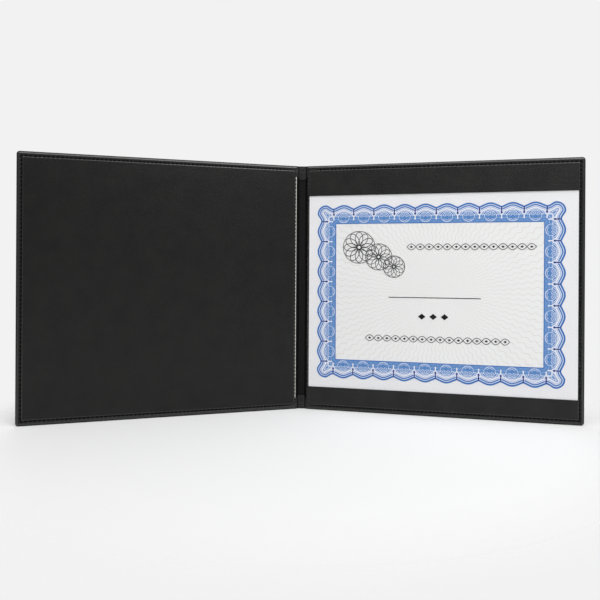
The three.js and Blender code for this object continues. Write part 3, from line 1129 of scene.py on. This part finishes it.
def arcPath(center, radius, fromAngle, toAngle, steps, flatten=1.0):
    path = []
    for step in range(steps + 1):
        angle = math.radians(mix(fromAngle, toAngle, step / steps))
        path.append((center[0] + radius * math.cos(angle), center[1] + radius * flatten * math.sin(angle)))
    return path


def circlePath(center, radius, steps, flatten=1.0):
    return arcPath(center, radius, 0, 360, steps, flatten)[:-1]


# The outline of one lobe, at a distance inside it
def lobePath(inset, steps=14):
    pitch = border["pitch"]
    cusp = border["cusp"] * border["rise"]
    wave = (border["rise"] - cusp) / 2
    path = []
    for step in range(steps + 1):
        s = mix(-pitch / 2, pitch / 2, step / steps)
        turn = 2 * math.pi * s / pitch
        rise = wave * (1 + math.cos(turn)) + cusp * (1 - (2 * s / pitch) ** 2)
        slope = -wave * math.sin(turn) * 2 * math.pi / pitch - 8 * cusp * s / pitch ** 2
        lean = math.hypot(1, slope)
        path.append((s + inset * slope / lean, border["width"] + rise - inset / lean))
    return path


# Every curve of a lobe: inset from the outline, width, tone
lobeLines = [(0.85, 1.7, "deep"), (3.1, 1.2, "deep"), (4.85, 0.5, "light"), (5.85, 1.1, "white"),
             (6.8, 0.45, "light"), (7.4, 0.7, "white")]
# The arcs and rays of the shell in each lobe: radius, from and to angle, steps, flatness, width,
# layer, tone
shell = {
    "center": (0, 6.6),
    "radius": 5.9,
    "flatten": 0.88,
    "outerArcs": [(7.6, 14, 166, 16, 0.8, 0.65, 3, "blue"), (9.0, 6, 44, 6, 0.8, 0.65, 3, "blue"),
                  (9.0, 136, 174, 6, 0.8, 0.65, 3, "blue")],
    "innerArcs": [(4.5, 12, 168, 12, 0.88, 0.36, 3, "pale")],
    "rays": (25, 58, 90, 122, 155),
    "rayReach": (1.4, 4.3),
    "edgeArcs": [(6.7, 22, 52, 5, 0.86, 0.7, 4, "deep"), (6.7, 128, 158, 5, 0.86, 0.7, 4, "deep")],
}


def makeLobe():
    shapes = inkShapes()
    center, flatten = shell["center"], shell["flatten"]

    def addArcs(arcs):
        for radius, low, high, steps, flatness, width, layer, tone in arcs:
            shapes.addLine(arcPath(center, radius, low, high, steps, flatness), width, layer, tone)

    for inset, width, tone in lobeLines:
        shapes.addLine(lobePath(inset), width, 2, tone)
    addArcs(shell["outerArcs"])
    disc = circlePath(center, shell["radius"], 28, flatten)
    shapes.addLine(disc, 0.5, 2, "pale", closed=True)
    shapes.addPrism(disc, 1, "blue")
    addArcs(shell["innerArcs"])
    for angle in shell["rays"]:
        ray = [arcPath(center, radius, angle, angle, 1, flatten)[0] for radius in shell["rayReach"]]
        shapes.addLine(ray, 0.5, 4, "pale")
    for radius in (2.6, 4.2):
        shapes.addLine(arcPath((0, 5.4), radius, 200, 340, 10, 0.9), 0.45, 3, "pale")
    addArcs(shell["edgeArcs"])
    shapes.addLine(circlePath((0, 5.6), 1.4, 10), 0.35, 4, "deep", closed=True)
    for offset in (7.3, 8.9, 10.2):
        for side in (-1, 1):
            shapes.addPrism(circlePath((side * offset, 7.3), 0.75, 8), 2, "blue")
            shapes.addPrism(circlePath((side * offset, 5.0), 0.35, 6), 3, "pale")
    for side in (-1, 1):
        shapes.addLine([(side * 7.2, 2.3), (side * 9.8, 2.3)], 0.35, 3, "light")
    return shapes


def makeTick():
    shapes = inkShapes()
    shapes.addLine([(0, 9.2), (0, 16.6)], 1.1, 4, "navy")
    shapes.addPrism(circlePath((0, 10.4), 1.1, 8), 4, "navy")
    shapes.addPrism(circlePath((0, 14.0), 0.95, 8), 4, "navy")
    shapes.addLine([(0, 3.9), (0, 8.6)], 1.15, 4, "white")
    return shapes


# The outline of a corner lobe, from one valley to the other, at a distance inside it
def cornerPath(inset, steps=6):
    corner = border["rise"] + border["width"] - border["cornerRadius"]
    valley = border["cornerReturn"]
    span = corner - valley
    path = []
    for step in range(steps + 1):
        t = span * step / steps
        rise = border["rise"] / 2 * (1 - math.cos(math.pi * t / span))
        slope = border["rise"] / 2 * math.sin(math.pi * t / span) * math.pi / span
        lean = math.hypot(1, slope)
        path.append((valley + t + inset * slope / lean, border["width"] + rise - inset / lean))
    path += arcPath((corner, corner), border["cornerRadius"] - inset, 78, 45, 4)
    return path + [(y, x) for x, y in reversed(path[:-1])]


def makeCorner():
    shapes = inkShapes()
    for inset, width, tone in lobeLines[:4]:
        shapes.addLine(cornerPath(inset), width, 2, tone)
    triangle = [(5.6, 9.9), (12.6, 13.6), (13.7, 13.7), (13.6, 12.6), (9.9, 5.6), (8.9, 8.9)]
    shapes.addLine(triangle, 0.7, 3, "blue", closed=True)
    shapes.addPrism([(8.2, 10.0), (12.0, 12.0), (10.0, 8.2)], 3, "blue")
    for reach in (4.2, 6.4):
        shapes.addLine(arcPath((0.8, 0.8), reach, 8, 82, 8), 0.4, 3, "pale")
    return shapes


motifNames = ["lobe", "tick", "corner", "link", "petal"]


# One tree places the lobes, the valley ticks, the corners and the ornaments on their points,
# each turned by the angle that its point carries
def makePrintTree():
    motifs = [(name + word, "Object") for name in motifNames for word in (" shape", " places")]
    tree, source, result = newGroup("printMotifs", "GeometryNodeTree", [
        ("Lines", "Geometry"), ("Ink", "Material"), *motifs], [("Print", "Geometry")])
    node = partial(addNode, tree)
    turn, reach = (node("GeometryNodeInputNamedAttribute", {"Name": name}, data_type="FLOAT")
                   .outputs["Attribute"] for name in ("turn", "reach"))
    turned = node("ShaderNodeCombineXYZ", {"Z": turn})
    size = node("ShaderNodeCombineXYZ", {"X": reach, "Y": reach, "Z": 1})
    joined = node("GeometryNodeJoinGeometry", {"Geometry": source["Lines"]})
    for name in motifNames:
        shape, places = (node("GeometryNodeObjectInfo", {"Object": source[name + word]})
                         .outputs["Geometry"] for word in (" shape", " places"))
        values = {"Points": places, "Instance": shape, "Rotation": turned, "Scale": size}
        feed(tree, joined, {"Geometry": node("GeometryNodeInstanceOnPoints", values)})
    real = node("GeometryNodeRealizeInstances", {"Geometry": joined})
    painted = node("GeometryNodeSetMaterial", {"Geometry": real, "Material": source["Ink"]})
    feed(tree, result, {"Print": painted})
    return tree


# Points in the plane of the print, each with the angle and the size of what stands on it
def makePlaces(name, places):
    mesh = bpy.data.meshes.new(name)
    mesh.from_pydata([(place[0], place[1], 0) for place in places], [], [])
    setAttribute(mesh, "turn", "FLOAT", "POINT", [math.radians(place[2]) for place in places])
    setAttribute(mesh, "reach", "FLOAT", "POINT", [place[3] if len(place) > 3 else 1 for place in places])
    return addObject(name, mesh)


# Places along the four sides of the border: at each lobe, or at each valley between them
def sidePlaces(atValleys):
    places = []
    for turn, lobes, half in ((0, "lobesAcross", fieldHalf[1]), (-90, "lobesUp", fieldHalf[0]),
                              (180, "lobesAcross", fieldHalf[1]), (90, "lobesUp", fieldHalf[0])):
        count = border[lobes]
        cosine, sine = math.cos(math.radians(turn)), math.sin(math.radians(turn))
        for index in range(count + atValleys):
            along = (index - (count - 1 + atValleys) / 2) * border["pitch"]
            places.append((along * cosine - half * sine, along * sine + half * cosine, turn))
    return places


ornaments = {
    "chains": [(-30.7, 100.3, 49.4), (-75.1, 76.2, -49.8)],   # from, to, height
    "linkStep": 9.4,
    "linkHeight": 6.4,
    "linkWidth": 0.62,
    "rule": (-50.0, 46.2, -5.2),
    "lozenges": [(-14.6, -25.5), (-2.7, -25.5), (9.2, -25.5)],
    "lozengeSize": (4.0, 3.2),
    "rosettes": [(-82.5, 49.0, 16.5), (-61.0, 38.5, 13.5), (-44.5, 28.0, 11.0)],   # middle and reach
    "petals": 12,
    "petalWidth": 0.55 / 14,   # of a petal 1 mm long
    "rings": (0.17, 1.06),
    "frames": [(4.3, 6.2, 0, "blue"), (0.55, 1.1, 3, "deep")],   # inset, width, layer, tone
    "lineWidth": 0.6,
    "ruleWidth": 0.8,
}


def makeLink():
    shapes = inkShapes()
    step, height = ornaments["linkStep"], ornaments["linkHeight"]
    places = [(index / 16 - 0.5) * step for index in range(17)]
    for sign in (-1, 1):
        wave = [(s, sign * height / 2 * math.cos(math.pi * s / step)) for s in places]
        shapes.addLine(wave, ornaments["linkWidth"], 0, "ink")
    shapes.addPrism([(-1.7, 0), (0, -1.3), (1.7, 0), (0, 1.3)], 0, "ink")
    return shapes


# One petal of a rosette that reaches 1 mm: a long loop from its middle outwards
def makePetal():
    shapes = inkShapes()
    angles = [2 * math.pi * index / 24 for index in range(24)]
    loop = [(0.56 + 0.44 * math.cos(angle), 0.25 * math.sin(angle)) for angle in angles]
    shapes.addLine(loop, ornaments["petalWidth"], 0, "ink", closed=True)
    return shapes


# The rings round the field, the rule, the lozenges and the rosettes' circles
def makeLines():
    lines = inkShapes()
    for inset, width, layer, tone in ornaments["frames"]:
        reach, rise = (half + inset for half in fieldHalf)
        loop = [(-reach, -rise), (reach, -rise), (reach, rise), (-reach, rise)]
        lines.addLine(loop, width, layer, tone, closed=True)
    low, high, level = ornaments["rule"]
    lines.addLine([(low, level), (high, level)], ornaments["ruleWidth"], 0, "ink")
    wide, tall = ornaments["lozengeSize"]
    for x, y in ornaments["lozenges"]:
        lines.addPrism([(x - wide, y), (x, y - tall), (x + wide, y), (x, y + tall)], 0, "ink")
    for x, y, reach in ornaments["rosettes"]:
        for share in ornaments["rings"]:
            circle = circlePath((x, y), share * reach, 48)
            lines.addLine(circle, ornaments["lineWidth"], 0, "ink", closed=True)
    return lines.makeObject("certificatePrint")


def makePrint():
    lines = makeLines()
    wide, tall = fieldHalf
    step, count = ornaments["linkStep"], ornaments["petals"]
    links = [(low + (index + 0.5) * step, level, 0) for low, high, level in ornaments["chains"]
             for index in range(round((high - low) / step))]
    petals = [(x, y, 360 * index / count, reach) for x, y, reach in ornaments["rosettes"]
              for index in range(count)]
    corners = [(wide, tall, 0), (-wide, tall, 90), (-wide, -tall, 180), (wide, -tall, -90)]
    motifs = {
        "lobe": (makeLobe(), sidePlaces(0)),
        "tick": (makeTick(), sidePlaces(1)),
        "corner": (makeCorner(), corners),
        "link": (makeLink(), links),
        "petal": (makePetal(), petals),
    }
    values = {"Ink": inkMaterial}
    for name, (shapes, places) in motifs.items():
        values[name + " shape"] = shapes.makeObject(name + "Motif")
        values[name + " places"] = makePlaces(name + "Places", places)
    addTree(lines, makePrintTree(), values)
    piece = bakeModifiers(lines, "certificatePrint")
    for key in values:
        if key != "Ink":
            bpy.data.objects.remove(values[key])
    for vertex in piece.data.vertices:
        x, y, level = vertex.co
        vertex.co = toRow(right, printMiddle[0] + x, level, printMiddle[1] + y)
    cleanMesh(piece.data)
    finishPiece(piece, "right_leaf", "blue_print")


makePrint()
print("print made")

# The clear sheet over the certificate, sewn down at both sides

film = {
    "thickness": 0.2,
    "rest": 0.05,
    "lines": [0, 0.5, 0.9, 1.2, 1.5, 1.8, 2.1, 2.4, 2.8, 3.4, 4.0, 4.6, 5.2, 6, 8],
    "endLines": [0, 2],
    "step": 12,
    "startRise": (-0.7, 0.2),   # beside the sheet's two ends the film comes down to the lining
    "endFall": (-0.1, 1.2),
    "roughness": 0.06,
    "color": linear(100, 101, 103),
    "alpha": 0.015,
    "waves": 14,
    "waveDepth": 0.0006,
    "waveStrength": 0.5,
}


def makeFilm(look):
    material, tree, shader = newMaterial("clearFilm", look["roughness"])
    wave = addNode(tree, "ShaderNodeTexNoise", {"Vector": objectPlace(tree), "Scale": look["waves"]})
    feed(tree, shader, {
        "Base Color": look["color"],
        "Alpha": look["alpha"],
        "Normal": bumpFrom(tree, wave, look["waveDepth"], look["waveStrength"]),
    })
    alongSpan, depthSpan, highSpan = filmSpan
    startRise = [sheetSpan[0][0] + value for value in look["startRise"]]
    endFall = [sheetSpan[0][1] + value for value in look["endFall"]]

    def bottom(along, high):
        share = min(smooth(*startRise, along), 1 - smooth(*endFall, along))
        return mix(innerFace + look["rest"], depthSpan[0], share)

    columns = linesBetween(*alongSpan, look["lines"], look["lines"], look["step"])
    rows = linesBetween(*highSpan, look["endLines"], look["endLines"], look["step"])
    piece = gridSheet("clearSheet", right, columns, rows,
                      lambda along, high: bottom(along, high) + look["thickness"], bottom, material)
    finishPiece(piece, "right_leaf", "clear_film", "clear_film")


makeFilm(film)
print("clear sheet made")

# Nodes of the frame that stay as they are, with their own materials

boardLook = {
    "dark": linear(132, 124, 112),
    "light": linear(154, 146, 133),
    "scale": 900,
    "detail": 4,
    "depth": 0.0001,
    "roughness": 0.9,
    "specular": 0.5,
}
fleeceLook = {**boardLook, "dark": linear(214, 211, 204), "light": linear(234, 232, 226), "scale": 1500}
tintLook = {
    **boardLook,
    "dark": ink["pale"],
    "light": linear(220, 227, 242),
    "scale": 800,
    "detail": 2,
    "depth": 0,
    "roughness": 0.75,
}


def repaint(name, look, *nodes):
    material = makePlain(name, look)
    for node in nodes:
        mesh = frame["nodes"][node].data
        for index in range(len(mesh.materials)):
            mesh.materials[index] = material


repaint("greyBoard", boardLook, "left_board", "right_board", "spine_strip")
repaint("softFleece", fleeceLook, "left_padding", "right_padding")
repaint("paleInk", tintLook, "printed_border")
print("frame nodes painted")


# Stitches along the seams: a ball drawn out to a stitch at even steps along a path
def makeStitchTree():
    tree, source, result = newGroup("seamStitches", "GeometryNodeTree", [
        ("Seam path", "Geometry"),
        ("Stitch pitch", "Float"),
        ("Stitch length", "Float"),
        ("Thread width", "Float"),
        ("Thread", "Material"),
    ], [("Stitches", "Geometry")])
    node = partial(addNode, tree)
    curve = node("GeometryNodeMeshToCurve", {"Mesh": source["Seam path"]})
    length = node("GeometryNodeCurveLength", {"Curve": curve})
    count = mathNode(tree, "ROUND", mathNode(tree, "DIVIDE", length, source["Stitch pitch"]))
    spaced = node("GeometryNodeResampleCurve", {"Curve": curve, "Count": count}, mode="COUNT")
    ball = node("GeometryNodeMeshUVSphere", {"Segments": 8, "Rings": 6, "Radius": 0.5})
    width = source["Thread width"]
    size = node("ShaderNodeCombineXYZ", {"X": width, "Y": width, "Z": source["Stitch length"]})
    shaped = node("GeometryNodeTransform", {"Geometry": ball, "Scale": size})
    tangent = node("GeometryNodeInputTangent")
    turned = node("FunctionNodeAlignRotationToVector", {"Vector": tangent}, axis="Z")
    values = {"Points": spaced, "Instance": shaped, "Rotation": turned}
    real = node("GeometryNodeRealizeInstances", {"Geometry": node("GeometryNodeInstanceOnPoints", values)})
    rounded = node("GeometryNodeSetShadeSmooth", {"Geometry": real})
    painted = node("GeometryNodeSetMaterial", {"Geometry": rounded, "Material": source["Thread"]})
    feed(tree, result, {"Stitches": painted})
    return tree


stitchTree = makeStitchTree()
stitchLift = 0.22
outerLift = 0.6 * stitchLift
seamSteps = 60
bandHems = (bandSpan["bottom"][2][1], bandSpan["top"][2][0])


# A loop of stitches round one leaf, at the depth that depthAt gives
def makeStitches(name, side, depthAt, *nodes):
    corners = [(seamStart, seamLow), (seamEnd, seamLow), (seamEnd, seamHigh), (seamStart, seamHigh)]
    points = []
    for corner, following in zip(corners, corners[1:] + corners[:1]):
        for step in range(seamSteps):
            along, high = (mix(a, b, step / seamSteps) for a, b in zip(corner, following))
            points.append(tuple(toRow(side, along, depthAt(high), high)))
    mesh = bpy.data.meshes.new(name)
    mesh.from_pydata(points, [(index, (index + 1) % len(points)) for index in range(len(points))], [])
    path = addObject(name + "Path", mesh)
    addTree(path, stitchTree, {
        "Stitch pitch": stitch["pitch"] * mm,
        "Stitch length": stitch["length"] * mm,
        "Thread width": stitch["width"] * mm,
        "Thread": threadMaterial,
    })
    finishPiece(bakeModifiers(path, name), bodyOf[side], "thread", *nodes)


def leftInside(high):
    return innerFace - closedDrop - seam["sink"] + stitchLift


def rightInside(high):
    onBand = high < bandHems[0] or high > bandHems[1]
    face = bandSpan["top"][1][1] - closedDrop if onBand else innerFace
    return face - seam["sink"] + stitchLift


def outside(high):
    return cover["seamSink"] - cover["thickness"] / 2 - outerLift


makeStitches("leftSeam", left, leftInside, "left_seam_thread")
makeStitches("rightSeam", right, rightInside, "right_seam_thread")
makeStitches("leftOuterSeam", left, outside)
makeStitches("rightOuterSeam", right, outside)
print("stitches made")
